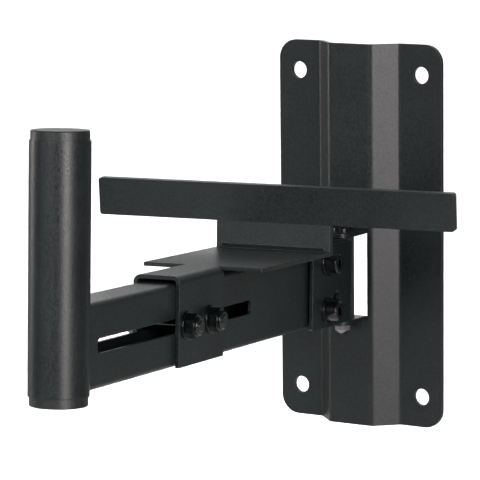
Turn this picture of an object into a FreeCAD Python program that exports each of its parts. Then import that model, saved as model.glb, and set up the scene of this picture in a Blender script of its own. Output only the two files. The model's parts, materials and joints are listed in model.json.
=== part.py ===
import FreeCAD, Part
import math
import os
import re
import Sketcher

# Wall bracket for a loudspeaker with a 35 mm pole socket. Millimetres, +Z up.
# The back of the wall plate lies on the plane Y = 0 and the arm reaches out towards -Y.
# The origin is the centre of the four wall holes, on the back of the plate.

SIZES = {
    # wall plate: one folded sheet with a raised crest and two lugs bent out of its window
    "plate_width": 127.0,
    "plate_height": 262.5,
    "plate_sheet": 3.0,
    "plate_corner": 13.0,
    "plate_bend": 3.0,
    "crest_width": 33.0,
    "foot_width": 62.2,
    "crest_rise": 14.3,
    "wall_hole": 11.6,
    "wall_hole_x": 95.5,
    "wall_hole_z": 220.7,
    "lug_width": 26.2,
    "lug_gap": 56.7,
    "lug_reach": 29.8,
    "lug_corner": 7.0,
    "lug_bend": 1.0,
    "lug_lift": 1.15,
    "lug_kerf": 0.4,
    "lug_root": 0.5,
    # swivel
    "axis_standoff": 10.4,
    "hinge_height": -27.3,
    "swing_angle": 8.5,
    "rest_pitch": 3.15,
    "swivel_bolt": 6.0,
    "swivel_washer": 13.0,
    "swivel_washer_thick": 1.6,
    "swivel_across": 10.0,
    "swivel_head": 4.0,
    "swivel_nut_height": 4.4,
    "swivel_collar": 9.4,
    "swivel_collar_height": 1.9,
    "swivel_collar_edge": 1.4,
    "swivel_stub": 1.2,
    "thrust_washer": 16.4,
    "thrust_thick": 1.0,
    "swivel_block_width": 16.4,
    # clevis: a folded channel that carries the arm
    "clevis_sheet": 2.5,
    "clevis_bend": 2.0,
    "clevis_height": 54.0,
    "clevis_rise": 1.0,
    "web_reach": 21.0,
    "clevis_reach": 92.8,
    "clevis_corner": 2.0,
    "side_gap": 1.5,
    "pivot_reach": 70.1,
    "pivot_rise": 17.0,
    "bolt_pitch": 31.8,
    "lock_setback": 1.9,
    "tilt_range": 36.0,
    "arc_slot": 9.0,
    # M8 hardware of the tilt joint and of the clamp
    "bolt": 8.0,
    "hole_play": 0.4,
    "running_play": 0.1,
    "cap_head": 13.0,
    "cap_head_height": 8.0,
    "cap_socket": 6.0,
    "cap_socket_depth": 4.0,
    "cap_edge": 0.8,
    "washer": 17.5,
    "washer_thick": 1.6,
    "nut_across": 13.0,
    "nut_height": 5.6,
    "nut_collar": 11.6,
    "nut_collar_height": 2.4,
    "bolt_stub": 0.6,
    "bolt_edge": 0.8,
    "hex_head_height": 5.3,
    # arm: rectangular tube with a long slot in both side walls, coped onto the pole
    "tube_width": 25.0,
    "tube_height": 50.0,
    "tube_wall": 2.0,
    "tube_corner": 3.0,
    "tube_tail": 20.0,
    "slot_start": 185.1,
    "slot_land": 6.0,
    "slot_height": 8.8,
    "slot_drop": 0.4,
    "slot_corner": 3.0,
    # pole and its end caps
    "pole_reach": 426.3,
    "pole": 35.0,
    "pole_wall": 2.0,
    "pole_above": 117.3,
    "pole_below": 26.1,
    "pole_cap": 33.4,
    "pole_cap_height": 5.6,
    "pole_cap_edge": 0.5,
    "pole_cap_plug": 12.0,
    "pole_cap_wall": 2.0,
    "plug_play": 0.1,
    # stop: a folded saddle with a tray, and a bent T of flat steel welded to the tray
    "saddle_sheet": 2.5,
    "saddle_bend": 2.0,
    "saddle_gap": 0.2,
    "saddle_top_gap": 2.0,
    "saddle_start": 233.6,
    "saddle_length": 64.9,
    "saddle_relief": 1.0,
    "saddle_drop": 0.4,
    "clamp_first": 20.2,
    "clamp_pitch": 34.1,
    "clamp_seat": 0.05,
    "tray_width": 79.4,
    "bar_reach": 122.0,
    "bar_sheet": 5.0,
    "bar_width": 248.2,
    "bar_height": 24.7,
    "bar_lean": 7.35,
    "bar_corner": 2.0,
    "stem_height": 17.2,
    "weld_leg": 2.5,
    "weld_inset": 4.0,
}

os.makedirs("parts", exist_ok=True)
doc = FreeCAD.newDocument("SpeakerWallBracket")
sheet = doc.addObject("Spreadsheet::Sheet", "Sizes")
for row, (alias, value) in enumerate(SIZES.items(), start=1):
    sheet.set("A%d" % row, alias)
    sheet.set("B%d" % row, str(value))
    sheet.setAlias("B%d" % row, alias)
doc.recompute()

Vector = FreeCAD.Vector
Placement = FreeCAD.Placement
Rotation = FreeCAD.Rotation
subparts = []


def cell(alias):
    return float(sheet.get(alias))


def bound(text):
    """An expression in bare aliases, with each alias pointed at the sheet."""
    return re.sub(r"[a-z_]{2,}", lambda m: "Sizes." + m[0] if m[0] in SIZES else m[0], text)


def new_body(label, place):
    body = doc.addObject("PartDesign::Body", label)
    body.Label = label
    body.Placement = place
    subparts.append(body)
    return body


def new_sketch(body, plane, lift=None):
    sketch = body.newObject("Sketcher::SketchObject", body.Label + "_sketch")
    base = next(item for item in body.Origin.OriginFeatures if item.Role == plane)
    sketch.AttachmentSupport = [(base, "")]
    sketch.MapMode = "FlatFace"
    if lift is not None:
        sketch.setExpression("AttachmentOffset.Base.z", bound(lift))
    return sketch


def pin_point(sketch, index, position, x_text, y_text):
    """Fix one point of the sketch at a place given by two expressions."""
    for kind, axis, text in (("DistanceX", -2, x_text), ("DistanceY", -1, y_text)):
        if text == "0":
            sketch.addConstraint(Sketcher.Constraint("PointOnObject", index, position, axis))
        else:
            at = sketch.addConstraint(Sketcher.Constraint(kind, -1, 1, index, position, value_of(text)))
            sketch.setExpression("Constraints[%d]" % at, bound(text))


def value_of(text):
    """The number that an expression gives with the sizes in the sheet."""
    return float(sheet.evalExpression(bound(text)))


def polygon(sketch, corners):
    """A closed outline whose corners are pairs of expressions."""
    guess = [Vector(value_of(x), value_of(y), 0) for x, y in corners]
    count = len(corners)
    first = sketch.GeometryCount
    for i in range(count):
        sketch.addGeometry(Part.LineSegment(guess[i], guess[(i + 1) % count]))
    for i in range(count):
        follow = first + (i + 1) % count
        sketch.addConstraint(Sketcher.Constraint("Coincident", first + i, 2, follow, 1))
    for i, (x, y) in enumerate(corners):
        pin_point(sketch, first + i, 1, x, y)


def rectangle(sketch, x_low, x_high, y_low, y_high):
    polygon(sketch, [(x_low, y_low), (x_high, y_low), (x_high, y_high), (x_low, y_high)])


def circle(sketch, x, y, diameter):
    centre = Vector(value_of(x), value_of(y), 0)
    index = sketch.addGeometry(Part.Circle(centre, Vector(0, 0, 1), value_of(diameter) / 2))
    pin_point(sketch, index, 3, x, y)
    at = sketch.addConstraint(Sketcher.Constraint("Diameter", index, value_of(diameter)))
    sketch.setExpression("Constraints[%d]" % at, bound(diameter))


def hexagon(sketch, across):
    """A hexagon about the origin, flats above and below."""
    long = "%s / sqrt(3)" % across
    half = "%s / sqrt(12)" % across
    flat = "%s / 2" % across
    polygon(sketch, [(long, "0"), (half, flat), ("-" + half, flat),
                     ("-" + long, "0"), ("-" + half, "-" + flat), (half, "-" + flat)])


def pad(body, sketch, length, both=False, down=False):
    feature = body.newObject("PartDesign::Pad", body.Label + "_pad")
    feature.Profile = sketch
    feature.setExpression("Length", bound(length))
    feature.SideType = "Symmetric" if both else "One side"
    feature.Reversed = down
    doc.recompute()
    return feature


def cut_through(body, sketch):
    before = body.Shape.Volume
    feature = body.newObject("PartDesign::Pocket", body.Label + "_cut")
    feature.Profile = sketch
    feature.Type = "ThroughAll"
    feature.SideType = "Symmetric"
    doc.recompute()
    check_cut(body, before)
    return feature


def cut_depth(body, sketch, depth, down=False):
    before = body.Shape.Volume
    feature = body.newObject("PartDesign::Pocket", body.Label + "_cut")
    feature.Profile = sketch
    feature.setExpression("Length", bound(depth))
    feature.Reversed = down
    doc.recompute()
    check_cut(body, before)
    return feature


def check_cut(body, before):
    if not body.Shape.Volume < before - 1e-6:
        raise RuntimeError("a cut in %s removed nothing" % body.Label)


def edges_along(shape, axis, places):
    """Names of the straight edges along one axis that cross the given places of the other two."""
    others = [i for i in range(3) if i != axis]
    names = []
    for number, edge in enumerate(shape.Edges, start=1):
        start = edge.Vertexes[0].Point
        end = edge.Vertexes[-1].Point
        if abs(start[axis] - end[axis]) < 0.01:
            continue
        if any(abs(start[i] - end[i]) > 1e-4 for i in others):
            continue
        for place in places:
            if all(abs(start[i] - place[k]) < 1e-3 for k, i in enumerate(others)):
                names.append("Edge%d" % number)
    return names


def fillet(body, axis, places, radius):
    tip = body.Tip
    names = edges_along(tip.Shape, axis, [(value_of(a), value_of(b)) for a, b in places])
    if not names:
        raise RuntimeError("no edge to round in %s" % body.Label)
    feature = body.newObject("PartDesign::Fillet", body.Label + "_bend")
    feature.Base = (tip, names)
    feature.setExpression("Radius", bound(radius))
    doc.recompute()
    return feature


def rim(body, height, diameter, size):
    """Chamfer the round edge of a given diameter at a given height of a turned piece."""
    tip = body.Tip
    level = value_of(height)
    radius = value_of(diameter) / 2
    names = [
        "Edge%d" % number
        for number, edge in enumerate(tip.Shape.Edges, start=1)
        if hasattr(edge.Curve, "Radius")
        and abs(edge.Curve.Radius - radius) < 1e-4
        and abs(edge.Curve.Center.z - level) < 1e-4
    ]
    feature = body.newObject("PartDesign::Chamfer", body.Label + "_edge")
    feature.Base = (tip, names)
    feature.setExpression("Size", bound(size))
    doc.recompute()
    return feature


def mirrored(*pairs):
    """The given places and the same ones on the other side of the middle plane."""
    return [(x, y) for x, y in pairs] + [("-(%s)" % x, y) for x, y in pairs]


# Frames. The swivel axis stands in front of the crest, and the arm leaves it at the swing angle
# and at the rest pitch. Head coordinates: X across the arm, -Y along it, Z up, with the origin
# where the middle line of the arm meets the swivel axis.
AXIS = "crest_rise + plate_sheet + axis_standoff"
axis_reach = cell("crest_rise") + cell("plate_sheet") + cell("axis_standoff")
wall_frame = Placement()
axis_frame = Placement(Vector(0, -axis_reach, cell("hinge_height")), Rotation())
swing_frame = axis_frame * Placement(Vector(), Rotation(Vector(0, 0, 1), cell("swing_angle")))
head_frame = swing_frame * Placement(Vector(), Rotation(Vector(1, 0, 0), -cell("rest_pitch")))


def on_axis(height):
    return axis_frame * Placement(Vector(0, 0, height), Rotation())


def below_axis(height):
    return axis_frame * Placement(Vector(0, 0, height), Rotation(Vector(1, 0, 0), 180))


def near_side(reach, height, offset):
    """A seat on the +X side of the arm; the piece grows away from the arm."""
    turn = Rotation(Vector(0, 1, 0), 90)
    return head_frame * Placement(Vector(offset, -reach, height), turn)


def far_side(reach, height, offset):
    turn = Rotation(Vector(0, 1, 0), -90)
    return head_frame * Placement(Vector(-offset, -reach, height), turn)


# Hardware. Each piece is built on its seat, at height 0, and grows upwards.
def washer(label, place, outside, inside, thick):
    body = new_body(label, place)
    sketch = new_sketch(body, "XY_Plane")
    circle(sketch, "0", "0", outside)
    circle(sketch, "0", "0", inside)
    pad(body, sketch, thick)


def lock_nut(label, place, across, inside, height, collar, collar_height, edge):
    """A hexagon with the round collar that holds the locking ring."""
    body = new_body(label, place)
    sketch = new_sketch(body, "XY_Plane")
    hexagon(sketch, across)
    circle(sketch, "0", "0", inside)
    pad(body, sketch, height)
    ring = new_sketch(body, "XY_Plane", height)
    circle(ring, "0", "0", collar)
    circle(ring, "0", "0", inside)
    pad(body, ring, collar_height)
    rim(body, "%s + %s" % (height, collar_height), collar, edge)


def joint_nut(label, place):
    lock_nut(label, place, "nut_across", "bolt", "nut_height", "nut_collar", "nut_collar_height", "cap_edge")


def shank(body, diameter, length):
    sketch = new_sketch(body, "XY_Plane")
    circle(sketch, "0", "0", diameter)
    pad(body, sketch, length, down=True)
    rim(body, "-(%s)" % length, diameter, "bolt_edge")


def cap_screw(label, place, length):
    body = new_body(label, place)
    sketch = new_sketch(body, "XY_Plane")
    circle(sketch, "0", "0", "cap_head")
    pad(body, sketch, "cap_head_height")
    shank(body, "bolt", length)
    rim(body, "cap_head_height", "cap_head", "cap_edge")
    socket = new_sketch(body, "XY_Plane", "cap_head_height")
    hexagon(socket, "cap_socket")
    cut_depth(body, socket, "cap_socket_depth")


def hex_bolt(label, place, across, head, diameter, length):
    body = new_body(label, place)
    sketch = new_sketch(body, "XY_Plane")
    hexagon(sketch, across)
    pad(body, sketch, head)
    shank(body, diameter, length)


# Wall plate
LUG_TOP = "(lug_lift + hinge_height + lug_gap / 2)"
LUG_LOW = "(lug_lift + hinge_height - lug_gap / 2)"
CREST = "(crest_rise + plate_sheet)"
FOLD = "plate_sheet * tan(atan(crest_rise / (foot_width - crest_width) * 2) / 2)"


def wall_plate():
    body = new_body("wall_plate", wall_frame)
    section = new_sketch(body, "XY_Plane")
    side = "plate_width / 2"
    foot = "foot_width / 2"
    crest = "crest_width / 2"
    inner_foot = "foot_width / 2 - " + FOLD
    inner_crest = "crest_width / 2 - " + FOLD
    right = [(crest, "-" + CREST), (foot, "-plate_sheet"), (side, "-plate_sheet"),
             (side, "0"), (inner_foot, "0"), (inner_crest, "-crest_rise")]
    left = [("-(%s)" % x, y) for x, y in reversed(right)]
    polygon(section, right + left)
    pad(body, section, "plate_height", both=True)
    outer = mirrored((crest, "-" + CREST), (inner_foot, "0"))
    inner = mirrored((foot, "-plate_sheet"), (inner_crest, "-crest_rise"))
    fillet(body, 2, outer, "plate_bend + plate_sheet")
    fillet(body, 2, inner, "plate_bend")
    fillet(body, 1, mirrored((side, "plate_height / 2"), (side, "-plate_height / 2")), "plate_corner")
    holes = new_sketch(body, "XZ_Plane")
    for x in ("wall_hole_x / 2", "-wall_hole_x / 2"):
        for z in ("wall_hole_z / 2", "-wall_hole_z / 2"):
            circle(holes, x, z, "wall_hole")
    cut_through(body, holes)
    root = "(lug_bend + plate_sheet + lug_root)"
    half = "(lug_width / 2 + lug_kerf)"
    window = new_sketch(body, "XZ_Plane")
    rectangle(window, "-" + half, half, LUG_LOW + " - " + root, LUG_TOP + " + " + root)
    cut_through(body, window)
    wall_lug(body, LUG_TOP, "+", root)
    wall_lug(body, LUG_LOW, "-", root)
    bore = new_sketch(body, "XY_Plane")
    circle(bore, "0", "-(%s)" % AXIS, "swivel_bolt + running_play")
    cut_through(body, bore)


def wall_lug(body, level, away, root):
    """One lug, bent out of the crest; its flat side away from the arm is one sheet further out."""
    tip = "-(%s + lug_reach)" % CREST
    top = "%s %s plate_sheet" % (level, away)
    end = "%s %s %s" % (level, away, root)
    profile = new_sketch(body, "YZ_Plane")
    polygon(profile, [("-crest_rise", level), (tip, level), (tip, top),
                      ("-" + CREST, top), ("-" + CREST, end), ("-crest_rise", end)])
    pad(body, profile, "lug_width", both=True)
    round_tip(body, mirrored(("lug_width / 2", tip)), level, top)
    fillet(body, 0, [("-" + CREST, top)], "lug_bend")
    fillet(body, 0, [("-crest_rise", level)], "lug_bend + plate_sheet")


def round_tip(body, places, low, high):
    """Round the upright edges at the tip of one lug."""
    tip = body.Tip
    middle = (value_of(low) + value_of(high)) / 2
    wanted = [(value_of(a), value_of(b)) for a, b in places]
    names = [
        name
        for name in edges_along(tip.Shape, 2, wanted)
        if abs(tip.Shape.getElement(name).CenterOfMass.z - middle) < 0.01
    ]
    feature = body.newObject("PartDesign::Fillet", body.Label + "_bend")
    feature.Base = (tip, names)
    feature.setExpression("Radius", bound("lug_corner"))
    doc.recompute()


# Swivel: bolt, nut and washers on the lugs, and the block that turns between them
def swivel():
    top = cell("lug_lift") + cell("lug_gap") / 2 + cell("plate_sheet")
    low = cell("lug_lift") - cell("lug_gap") / 2 - cell("plate_sheet")
    inner_top = cell("lug_lift") + cell("lug_gap") / 2
    inner_low = cell("lug_lift") - cell("lug_gap") / 2
    thick = cell("swivel_washer_thick")
    bore = "swivel_bolt + running_play"
    washer("swivel_washer_top", on_axis(top), "swivel_washer", bore, "swivel_washer_thick")
    washer("swivel_washer_low", below_axis(low), "swivel_washer", bore, "swivel_washer_thick")
    stack = "lug_gap + 2 * plate_sheet + 2 * swivel_washer_thick"
    length = stack + " + swivel_nut_height + swivel_collar_height + swivel_stub"
    hex_bolt("swivel_bolt", on_axis(top + thick), "swivel_across", "swivel_head", "swivel_bolt", length)
    lock_nut("swivel_nut", below_axis(low - thick), "swivel_across", "swivel_bolt", "swivel_nut_height",
             "swivel_collar", "swivel_collar_height", "swivel_collar_edge")
    washer("thrust_washer_top", below_axis(inner_top), "thrust_washer", bore, "thrust_thick")
    washer("thrust_washer_low", on_axis(inner_low), "thrust_washer", bore, "thrust_thick")


def swivel_block():
    body = new_body("swivel_block", swing_frame * Placement(Vector(0, 0, 0), Rotation()))
    height = "lug_gap - 2 * thrust_thick"
    low = "lug_lift - lug_gap / 2 + thrust_thick"
    nose = new_sketch(body, "XY_Plane", low)
    circle(nose, "0", "0", "swivel_block_width")
    pad(body, nose, height)
    bar = new_sketch(body, "XY_Plane", low)
    rectangle(bar, "-swivel_block_width / 2", "swivel_block_width / 2", "-(web_reach + 10)", "0")
    pad(body, bar, height)
    # the front face is cut to the pitch of the clevis web
    slope = new_sketch(body, "YZ_Plane")
    high = "(lug_lift + lug_gap / 2)"
    deep = "(lug_lift - lug_gap / 2)"
    face = "-(web_reach / cos(rest_pitch * 1deg) - %s * tan(rest_pitch * 1deg))"
    polygon(slope, [(face % deep, deep), (face % high, high),
                    ("-(web_reach + 20)", high), ("-(web_reach + 20)", deep)])
    cut_through(body, slope)
    bore = new_sketch(body, "XY_Plane")
    circle(bore, "0", "0", "swivel_bolt + running_play")
    cut_through(body, bore)


# Clevis
CLEVIS_INSIDE = "(tube_width / 2 + side_gap)"
CLEVIS_OUTSIDE = "(tube_width / 2 + side_gap + clevis_sheet)"


def arc_slot(sketch, centre, radius, start, turn, width):
    """A curved slot about a centre, from one angle round to another, with round ends."""
    half = width / 2
    first = math.radians(start)
    last = math.radians(start + turn)
    axis = Vector(0, 0, 1)

    def at(angle, distance):
        return centre + Vector(math.cos(angle), math.sin(angle), 0) * distance

    outer = sketch.addGeometry(Part.ArcOfCircle(Part.Circle(centre, axis, radius + half), first, last))
    inner = sketch.addGeometry(Part.ArcOfCircle(Part.Circle(centre, axis, radius - half), first, last))
    begin = sketch.addGeometry(
        Part.ArcOfCircle(Part.Circle(at(first, radius), axis, half), first + math.pi, first + 2 * math.pi))
    finish = sketch.addGeometry(
        Part.ArcOfCircle(Part.Circle(at(last, radius), axis, half), last, last + math.pi))
    joins = ((outer, 1, begin, 2), (inner, 1, begin, 1), (outer, 2, finish, 1), (inner, 2, finish, 2))
    for a, a_end, b, b_end in joins:
        sketch.addConstraint(Sketcher.Constraint("Coincident", a, a_end, b, b_end))


def clevis():
    body = new_body("clevis", head_frame)
    low = "clevis_rise - clevis_height / 2"
    plan = new_sketch(body, "XY_Plane", low)
    front = "-clevis_reach"
    web = "-web_reach"
    web_front = "-(web_reach + clevis_sheet)"
    polygon(plan, [
        (CLEVIS_OUTSIDE, web), (CLEVIS_OUTSIDE, front), (CLEVIS_INSIDE, front), (CLEVIS_INSIDE, web_front),
        ("-" + CLEVIS_INSIDE, web_front), ("-" + CLEVIS_INSIDE, front),
        ("-" + CLEVIS_OUTSIDE, front), ("-" + CLEVIS_OUTSIDE, web)])
    pad(body, plan, "clevis_height")
    fillet(body, 2, mirrored((CLEVIS_OUTSIDE, web)), "clevis_bend + clevis_sheet")
    fillet(body, 2, mirrored((CLEVIS_INSIDE, web_front)), "clevis_bend")
    fillet(body, 0, [(front, low), (front, "clevis_rise + clevis_height / 2")], "clevis_corner")
    holes = new_sketch(body, "YZ_Plane")
    circle(holes, "-pivot_reach", "pivot_rise", "bolt + hole_play")
    cut_through(body, holes)
    slots = new_sketch(body, "YZ_Plane")
    pivot = Vector(-cell("pivot_reach"), cell("pivot_rise"), 0)
    radius = math.hypot(cell("bolt_pitch"), cell("lock_setback"))
    rest = math.degrees(math.atan2(-cell("bolt_pitch"), cell("lock_setback")))
    arc_slot(slots, pivot, radius, rest, cell("tilt_range"), cell("arc_slot"))
    cut_through(body, slots)


def tilt_hardware():
    pivot = (cell("pivot_reach"), cell("pivot_rise"))
    lock = (pivot[0] - cell("lock_setback"), pivot[1] - cell("bolt_pitch"))
    side = cell("tube_width") / 2 + cell("side_gap") + cell("clevis_sheet")
    seat = side + cell("washer_thick")
    length = "2 * (%s + washer_thick) + nut_height + nut_collar_height + bolt_stub" % CLEVIS_OUTSIDE
    for name, (reach, height) in (("pivot", pivot), ("lock", lock)):
        cap_screw(name + "_bolt", near_side(reach, height, seat), length)
        washer(name + "_washer_near", near_side(reach, height, side), "washer", "bolt + hole_play", "washer_thick")
        washer(name + "_washer_far", far_side(reach, height, side), "washer", "bolt + hole_play", "washer_thick")
        joint_nut(name + "_nut", far_side(reach, height, seat))


# Arm and pole
def arm_tube():
    body = new_body("arm_tube", head_frame)
    tail = "pivot_reach - tube_tail"
    outside = new_sketch(body, "XZ_Plane", tail)
    side = "tube_width / 2"
    top = "tube_height / 2"
    rectangle(outside, "-" + side, side, "-" + top, top)
    pad(body, outside, "pole_reach - (%s)" % tail)
    fillet(body, 1, mirrored((side, top), (side, "-" + top)), "tube_corner")
    inside = new_sketch(body, "XZ_Plane")
    inner_side = "(tube_width / 2 - tube_wall)"
    inner_top = "(tube_height / 2 - tube_wall)"
    rectangle(inside, "-" + inner_side, inner_side, "-" + inner_top, inner_top)
    cut_through(body, inside)
    corners = mirrored((inner_side, inner_top), (inner_side, "-" + inner_top))
    fillet(body, 1, corners, "max(tube_corner - tube_wall; 0.2)")
    cope = new_sketch(body, "XY_Plane")
    circle(cope, "0", "-pole_reach", "pole")
    cut_through(body, cope)
    slot_end = "-(pole_reach - pole / 2 - slot_land)"
    slot = new_sketch(body, "YZ_Plane")
    slot_low = "-(slot_drop + slot_height / 2)"
    slot_high = "slot_height / 2 - slot_drop"
    rectangle(slot, slot_end, "-slot_start", slot_low, slot_high)
    cut_through(body, slot)
    ends = [(y, z) for y in (slot_end, "-slot_start") for z in (slot_low, slot_high)]
    fillet(body, 0, ends, "slot_corner")
    holes = new_sketch(body, "YZ_Plane")
    circle(holes, "-pivot_reach", "pivot_rise", "bolt + running_play")
    circle(holes, "-(pivot_reach - lock_setback)", "pivot_rise - bolt_pitch", "bolt + running_play")
    cut_through(body, holes)


def pole():
    axis = head_frame * Placement(Vector(0, -cell("pole_reach"), 0), Rotation())
    body = new_body("pole_tube", axis)
    ring = new_sketch(body, "XY_Plane", "-pole_below")
    circle(ring, "0", "0", "pole")
    circle(ring, "0", "0", "pole - 2 * pole_wall")
    pad(body, ring, "pole_below + pole_above")
    over = Rotation(Vector(1, 0, 0), 180)
    pole_cap("pole_cap_top", axis * Placement(Vector(0, 0, cell("pole_above")), Rotation()))
    pole_cap("pole_cap_low", axis * Placement(Vector(0, 0, -cell("pole_below")), over))


def pole_cap(label, place):
    body = new_body(label, place)
    head = new_sketch(body, "XY_Plane")
    circle(head, "0", "0", "pole_cap")
    pad(body, head, "pole_cap_height")
    rim(body, "pole_cap_height", "pole_cap", "pole_cap_edge")
    plug = new_sketch(body, "XY_Plane")
    circle(plug, "0", "0", "pole - 2 * pole_wall - plug_play")
    circle(plug, "0", "0", "pole - 2 * pole_wall - plug_play - 2 * pole_cap_wall")
    pad(body, plug, "pole_cap_plug", down=True)


# Stop
SADDLE_INSIDE = "(tube_width / 2 + saddle_gap)"
SADDLE_OUTSIDE = "(tube_width / 2 + saddle_gap + saddle_sheet)"
SADDLE_UNDER = "(tube_height / 2 + saddle_top_gap)"
SADDLE_TOP = "(tube_height / 2 + saddle_top_gap + saddle_sheet)"
CLAMP_HEIGHT = "-(slot_drop + slot_height / 2 - bolt / 2 - clamp_seat)"


def stop_saddle():
    body = new_body("stop_saddle", head_frame)
    arch = new_sketch(body, "XZ_Plane", "saddle_start")
    low = "-(tube_height / 2 + saddle_drop)"
    polygon(arch, [
        (SADDLE_OUTSIDE, low), (SADDLE_OUTSIDE, SADDLE_TOP),
        ("-" + SADDLE_OUTSIDE, SADDLE_TOP), ("-" + SADDLE_OUTSIDE, low),
        ("-" + SADDLE_INSIDE, low), ("-" + SADDLE_INSIDE, SADDLE_UNDER),
        (SADDLE_INSIDE, SADDLE_UNDER), (SADDLE_INSIDE, low)])
    pad(body, arch, "saddle_length")
    fillet(body, 1, mirrored((SADDLE_OUTSIDE, SADDLE_TOP)), "saddle_bend + saddle_sheet")
    fillet(body, 1, mirrored((SADDLE_INSIDE, SADDLE_UNDER)), "saddle_bend")
    tray = new_sketch(body, "XY_Plane", SADDLE_UNDER)
    wing = "tray_width / 2"
    neck = "(tube_width / 2 + saddle_gap - saddle_bend)"
    rear = "-(bar_reach - bar_sheet)"
    front = "-(saddle_start - saddle_relief)"
    start = "-saddle_start"
    polygon(tray, [
        (wing, rear), (wing, front), (neck, front), (neck, start),
        ("-" + neck, start), ("-" + neck, front), ("-" + wing, front), ("-" + wing, rear)])
    pad(body, tray, "saddle_sheet")
    holes = new_sketch(body, "YZ_Plane")
    for step in ("0", "clamp_pitch"):
        circle(holes, "-(saddle_start + clamp_first + %s)" % step, CLAMP_HEIGHT, "bolt + hole_play")
    cut_through(body, holes)


def stop_bar():
    """A flat T bent above its stem, so that the cross bar leans outwards, with a weld along the foot."""
    seat = cell("tube_height") / 2 + cell("saddle_top_gap") + cell("saddle_sheet")
    bend = Vector(0, -cell("bar_reach"), seat + cell("stem_height"))
    lean = Rotation(Vector(1, 0, 0), cell("bar_lean"))
    body = new_body("stop_bar", head_frame * Placement(bend, lean))
    cross = new_sketch(body, "XZ_Plane")
    arm = "bar_width / 2"
    rectangle(cross, "-" + arm, arm, "0", "bar_height")
    pad(body, cross, "bar_sheet", down=True)
    fillet(body, 1, mirrored((arm, "0"), (arm, "bar_height")), "bar_corner")
    # seen from the leaning bar, the upright stem runs down and back
    along = "sin(bar_lean * 1deg)"
    down = "cos(bar_lean * 1deg)"
    foot = ("-stem_height * " + along, "-stem_height * " + down)
    heel = ("bar_sheet * %s - stem_height * %s" % (down, along), "-bar_sheet * %s - stem_height * %s" % (along, down))
    knee = ("bar_sheet", "-bar_sheet * tan(bar_lean * 1deg / 2)")
    stem = new_sketch(body, "YZ_Plane")
    polygon(stem, [("0", "0"), foot, heel, knee, ("bar_sheet", "0")])
    pad(body, stem, "tray_width", both=True)
    toe = ("-stem_height * %s - weld_leg * %s" % (along, down), "weld_leg * %s - stem_height * %s" % (along, down))
    throat = ("-(stem_height - weld_leg) * " + along, "-(stem_height - weld_leg) * " + down)
    weld = new_sketch(body, "YZ_Plane")
    polygon(weld, [foot, toe, throat])
    pad(body, weld, "tray_width - 2 * weld_inset", both=True)


def clamp_hardware():
    side = cell("tube_width") / 2 + cell("saddle_gap") + cell("saddle_sheet")
    seat = side + cell("washer_thick")
    height = value_of(CLAMP_HEIGHT)
    first = cell("saddle_start") + cell("clamp_first")
    length = "2 * (%s + washer_thick) + nut_height + nut_collar_height + bolt_stub" % SADDLE_OUTSIDE
    for name, reach in (("clamp_inner", first), ("clamp_outer", first + cell("clamp_pitch"))):
        hex_bolt(name + "_bolt", far_side(reach, height, seat), "nut_across", "hex_head_height", "bolt", length)
        washer(name + "_washer_far", far_side(reach, height, side), "washer", "bolt + hole_play", "washer_thick")
        washer(name + "_washer_near", near_side(reach, height, side), "washer", "bolt + hole_play", "washer_thick")
        joint_nut(name + "_nut", near_side(reach, height, seat))


wall_plate()
swivel()
swivel_block()
clevis()
tilt_hardware()
arm_tube()
pole()
stop_saddle()
stop_bar()
clamp_hardware()
doc.recompute()

for item in doc.Objects:
    if {"Invalid", "Error"} & set(item.State):
        raise RuntimeError("%s did not build: %s" % (item.Name, item.State))
for item in subparts:
    if item.Shape.isNull() or not item.Shape.isValid() or len(item.Shape.Solids) != 1:
        raise RuntimeError("%s has no sound solid" % item.Label)
for item in subparts:
    item.Shape.exportStep("parts/%s.step" % item.Label)
    box = item.Shape.BoundBox
    print("%-20s %9.1f mm3  x %7.1f %7.1f  y %7.1f %7.1f  z %7.1f %7.1f" % (
        item.Label, item.Shape.Volume, box.XMin, box.XMax, box.YMin, box.YMax, box.ZMin, box.ZMax))
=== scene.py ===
import bpy
import json
import math
from mathutils import Matrix, Quaternion, Vector

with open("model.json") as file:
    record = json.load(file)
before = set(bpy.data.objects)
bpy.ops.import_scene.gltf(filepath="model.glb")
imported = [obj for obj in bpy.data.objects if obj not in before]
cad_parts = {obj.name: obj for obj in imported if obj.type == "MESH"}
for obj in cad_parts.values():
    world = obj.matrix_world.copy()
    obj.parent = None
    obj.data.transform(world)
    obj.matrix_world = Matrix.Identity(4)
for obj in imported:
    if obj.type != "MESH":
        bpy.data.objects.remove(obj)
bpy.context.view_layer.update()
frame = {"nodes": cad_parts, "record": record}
scene = bpy.context.scene
nodes = frame["nodes"]

# Lengths are in metres, powers in watts and angles in degrees, apart from the
# spread of a lamp, which is in radians. Texture scales are features per metre.

# Camera, as fitted to the photograph
VIEW_AZIMUTH = 32.237
VIEW_ELEVATION = 8.417
VIEW_ROLL = -0.591
CAMERA_PLACE = (1.0766, -1.8662, 0.3155)
SENSOR_MM = 36
LENS_MM = 237.32
SHIFT_RIGHT = 0.0020
SHIFT_UP = -0.00455
CLIP_END = 200

# Studio
FLOOR_LEVEL = -0.34
FLOOR_REACH = 60
MIDDLE_OF_BRACKET = Vector((0.02, -0.2, 0.0))
SOFTBOX_SPREAD = 0.8
FLOOR_LAMP_SPREAD = 0.2
GLOW_PLACE = (-0.19, -0.9)
GLOW_HEIGHT = 1.6
STRIP_AZIMUTH = 32.2
STRIP_OFFSET = -0.084
STRIP_HEIGHT = 3
WHITE = (1.0, 1.0, 1.0)

# The bright wall behind the bracket, as the world's strength by direction
BRIGHT_SIDE = (-0.53, 0.84, 0.1)
BRIGHT_FROM = 0.6
BRIGHT_FULL = 1.0
DIM_STRENGTH = 0.1
BRIGHT_STRENGTH = 1.15

# Share of the noise range that a tone or a roughness runs over
NOISE_LOW = 0.35
NOISE_HIGH = 0.65


# Materials

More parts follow.
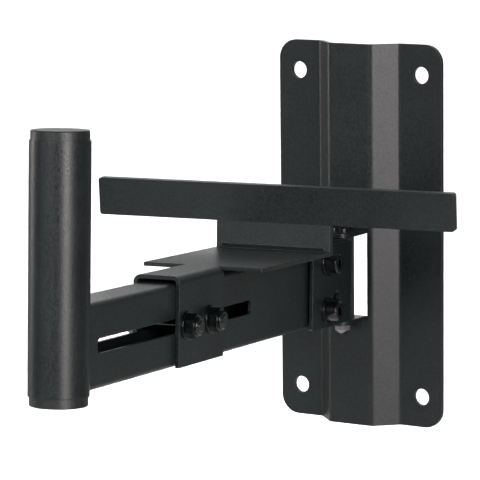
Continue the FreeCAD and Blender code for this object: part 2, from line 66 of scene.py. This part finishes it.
class Surface:
    """A principled material whose nodes are added one at a time."""

    def __init__(self, name):
        self.material = bpy.data.materials.new(name)
        self.material.use_nodes = True
        self.tree = self.material.node_tree
        self.shader = self.tree.nodes["Principled BSDF"]
        self.place = self.tree.nodes.new("ShaderNodeTexCoord").outputs["Object"]

    def add(self, kind, **values):
        """Add a node. An underscore in a value's name stands for a space."""
        node = self.tree.nodes.new(kind)
        for name, value in values.items():
            node.inputs[name.replace("_", " ")].default_value = value
        return node

    def set(self, **values):
        for name, value in values.items():
            self.shader.inputs[name.replace("_", " ")].default_value = value

    def link(self, output, socket):
        self.tree.links.new(output, self.shader.inputs[socket])

    def noise(self, scale, detail=2, rough=0.5):
        node = self.add("ShaderNodeTexNoise", Scale=scale, Detail=detail, Roughness=rough)
        self.tree.links.new(self.place, node.inputs["Vector"])
        return node.outputs["Fac"]

    def cells(self, scale):
        node = self.add("ShaderNodeTexVoronoi", Scale=scale)
        self.tree.links.new(self.place, node.inputs["Vector"])
        return node.outputs["Distance"]

    def around(self, value, middle, play):
        """A number that wanders about its middle by up to play either way."""
        node = self.add("ShaderNodeMapRange", From_Min=NOISE_LOW, From_Max=NOISE_HIGH,
                        To_Min=middle - play, To_Max=middle + play)
        self.tree.links.new(value, node.inputs["Value"])
        return node.outputs["Result"]

    def tones(self, value, dark, light, start=NOISE_LOW, end=NOISE_HIGH):
        node = self.add("ShaderNodeValToRGB")
        low, high = node.color_ramp.elements
        low.position = start
        low.color = (*dark, 1)
        high.position = end
        high.color = (*light, 1)
        self.tree.links.new(value, node.inputs["Fac"])
        return node.outputs["Color"]

    def mixed(self, first, second, share):
        node = self.add("ShaderNodeMix", Factor=share)
        self.tree.links.new(first, node.inputs["A"])
        self.tree.links.new(second, node.inputs["B"])
        return node.outputs["Result"]

    def rounded(self, radius):
        """Normals that run softly over sharp edges, as a coat of paint does."""
        node = self.add("ShaderNodeBevel", Radius=radius)
        node.samples = 6
        return node.outputs["Normal"]

    def bump(self, height, distance, strength, under=None):
        node = self.add("ShaderNodeBump", Strength=strength, Distance=distance)
        self.tree.links.new(height, node.inputs["Height"])
        if under:
            self.tree.links.new(under, node.inputs["Normal"])
        return node.outputs["Normal"]


def powder_coat(name, dark, light, rough):
    """Powder coat with a grain of melted beads over a slow unevenness of tone."""
    s = Surface(name)
    s.set(Metallic=0.0, IOR=1.46)
    edges = s.rounded(radius=0.0007)
    clouds, beads = s.noise(28), s.noise(900)
    tone = s.mixed(clouds, beads, share=0.8)
    s.link(s.tones(tone, dark, light, start=0.42, end=0.58), "Base Color")
    s.link(s.around(s.noise(700), rough, play=0.06), "Roughness")
    grain = s.noise(1000, rough=0.6)
    s.link(s.bump(grain, distance=0.00007, strength=0.8, under=edges), "Normal")
    return s.material


def plated(name, dark, light, metallic, rough, edge):
    """Plated steel with fine handling marks and a slightly cloudy gloss."""
    s = Surface(name)
    s.set(Metallic=metallic, IOR=1.6)
    s.link(s.tones(s.noise(260), dark, light), "Base Color")
    s.link(s.around(s.noise(500), rough, play=0.03), "Roughness")
    marks, edges = s.noise(2400, detail=1), s.rounded(edge)
    s.link(s.bump(marks, distance=0.000004, strength=0.4, under=edges), "Normal")
    return s.material


def moulded(name, dark, light, rough):
    """Moulded plastic with an eroded, matt skin."""
    s = Surface(name)
    s.set(Metallic=0.0, IOR=1.46)
    s.link(s.tones(s.noise(500), dark, light), "Base Color")
    s.link(s.around(s.noise(900), rough, play=0.05), "Roughness")
    s.link(s.bump(s.cells(1700), distance=0.00005, strength=0.5), "Normal")
    return s.material


by_slot = {
    "powder_black": powder_coat(
        "powder_black", rough=0.37,
        dark=(0.0004, 0.0022, 0.0026), light=(0.0064, 0.0100, 0.0104)),
    "black_hardware": plated(
        "black_hardware", metallic=0.0, rough=0.15, edge=0.0004,
        dark=(0.0002, 0.0012, 0.0014), light=(0.0008, 0.0024, 0.0026)),
    "zinc": plated(
        "zinc", metallic=1.0, rough=0.24, edge=0.0003,
        dark=(0.28, 0.28, 0.29), light=(0.38, 0.38, 0.39)),
    "cap_plastic": moulded(
        "cap_plastic", rough=0.42,
        dark=(0.0040, 0.0050, 0.0052), light=(0.0090, 0.0105, 0.0108)),
    "slip_ring": moulded(
        "slip_ring", rough=0.5,
        dark=(0.016, 0.016, 0.016), light=(0.022, 0.022, 0.022)),
}
for part in frame["record"]["subparts"]:
    mesh = nodes[part["node"]].data
    mesh.materials.clear()
    mesh.materials.append(by_slot[part["material_slot"]])


# Floor

floor_mesh = bpy.data.meshes.new("floor")
floor_mesh.from_pydata(
    [(x * FLOOR_REACH, y * FLOOR_REACH, FLOOR_LEVEL)
     for x, y in ((-1, -1), (1, -1), (1, 1), (-1, 1))],
    [], [(0, 1, 2, 3)])
floor = bpy.data.objects.new("floor", floor_mesh)
scene.collection.objects.link(floor)
pale = Surface("pale_floor")
pale.set(Roughness=0.9)
pale.link(pale.tones(pale.noise(3), (0.86, 0.86, 0.86), (0.9, 0.9, 0.9)), "Base Color")
floor_mesh.materials.append(pale.material)


# Light

def direction(azimuth, elevation):
    """From the bracket towards a lamp or a camera at these angles."""
    a = math.radians(azimuth)
    e = math.radians(elevation)
    return Vector((math.sin(a) * math.cos(e), -math.cos(a) * math.cos(e), math.sin(e)))


def soft_light(name, place, target, width, height, power, spread):
    """A lamp with a grid: the smaller its spread, the narrower its beam."""
    light = bpy.data.lights.new(name, "AREA")
    light.shape = "RECTANGLE"
    light.size = width
    light.size_y = height
    light.energy = power
    light.spread = spread
    lamp = bpy.data.objects.new(name, light)
    lamp.location = place
    lamp.rotation_mode = "QUATERNION"
    lamp.rotation_quaternion = (Vector(target) - Vector(place)).to_track_quat("-Z", "Y")
    scene.collection.objects.link(lamp)
    return lamp


def softbox(name, azimuth, elevation, distance, width, height, power, colour=WHITE):
    """A softbox that looks at the bracket from a direction given like a camera's."""
    place = MIDDLE_OF_BRACKET + direction(azimuth, elevation) * distance
    lamp = soft_light(name, place, MIDDLE_OF_BRACKET, width, height, power, SOFTBOX_SPREAD)
    lamp.data.color = colour


def strip_over_floor(name, start, end, width, power):
    """A strip over the floor behind the bracket, along the camera's line of sight."""
    a = math.radians(STRIP_AZIMUTH)
    centre = Vector((-math.sin(a), math.cos(a), 0)) * (start + end) / 2
    centre += Vector((math.cos(a), math.sin(a), 0)) * STRIP_OFFSET
    strip = soft_light(name, centre + Vector((0, 0, STRIP_HEIGHT)), centre,
                       width, end - start, power, FLOOR_LAMP_SPREAD)
    strip.rotation_quaternion = Quaternion((0, 0, 1), a)


softbox("right_softbox", azimuth=58, elevation=14, distance=2.2,
        width=0.9, height=1.5, power=7.9, colour=(1.0, 0.93, 0.92))
softbox("front_softbox", azimuth=2, elevation=24, distance=2.4,
        width=1.0, height=1.2, power=3.4)
softbox("left_softbox", azimuth=-25, elevation=8, distance=2.4,
        width=1.0, height=0.8, power=0.28)
softbox("rim_softbox", azimuth=-80, elevation=12, distance=2.2,
        width=0.5, height=1.2, power=2.2, colour=(1.0, 0.95, 0.94))
soft_light("floor_glow", (*GLOW_PLACE, GLOW_HEIGHT), (*GLOW_PLACE, FLOOR_LEVEL),
           width=0.5, height=0.5, power=1.3, spread=FLOOR_LAMP_SPREAD)
strip_over_floor("near_strip", start=0.55, end=2.8, width=0.75, power=9)
strip_over_floor("far_strip", start=2.8, end=8.0, width=1.8, power=46)

world = bpy.data.worlds.new("studio")
scene.world = world
world.use_nodes = True
tree = world.node_tree
background = tree.nodes["Background"]
compass = tree.nodes.new("ShaderNodeTexCoord").outputs["Generated"]
facing = tree.nodes.new("ShaderNodeVectorMath")
facing.operation = "DOT_PRODUCT"
facing.inputs[1].default_value = BRIGHT_SIDE
tree.links.new(compass, facing.inputs[0])
fade = tree.nodes.new("ShaderNodeMapRange")
fade.inputs["From Min"].default_value = BRIGHT_FROM
fade.inputs["From Max"].default_value = BRIGHT_FULL
fade.inputs["To Min"].default_value = DIM_STRENGTH
fade.inputs["To Max"].default_value = BRIGHT_STRENGTH
tree.links.new(facing.outputs["Value"], fade.inputs["Value"])
tree.links.new(fade.outputs["Result"], background.inputs["Strength"])
background.inputs["Color"].default_value = (*WHITE, 1)


# Camera, set to the view in the photograph

spot = bpy.data.cameras.new("camera")
spot.sensor_width = SENSOR_MM
spot.lens = LENS_MM
spot.shift_x = SHIFT_RIGHT
spot.shift_y = SHIFT_UP
spot.clip_end = CLIP_END
back = direction(VIEW_AZIMUTH, VIEW_ELEVATION)
right = direction(VIEW_AZIMUTH + 90, 0)
up = back.cross(right)
roll = math.radians(VIEW_ROLL)
across = right * math.cos(roll) + up * math.sin(roll)
upright = up * math.cos(roll) - right * math.sin(roll)
camera = bpy.data.objects.new("camera", spot)
camera.location = CAMERA_PLACE
camera.rotation_mode = "QUATERNION"
camera.rotation_quaternion = Matrix((across, upright, back)).transposed().to_quaternion()
scene.collection.objects.link(camera)
scene.camera = camera

scene.view_settings.view_transform = "Standard"
scene.view_settings.look = "None"
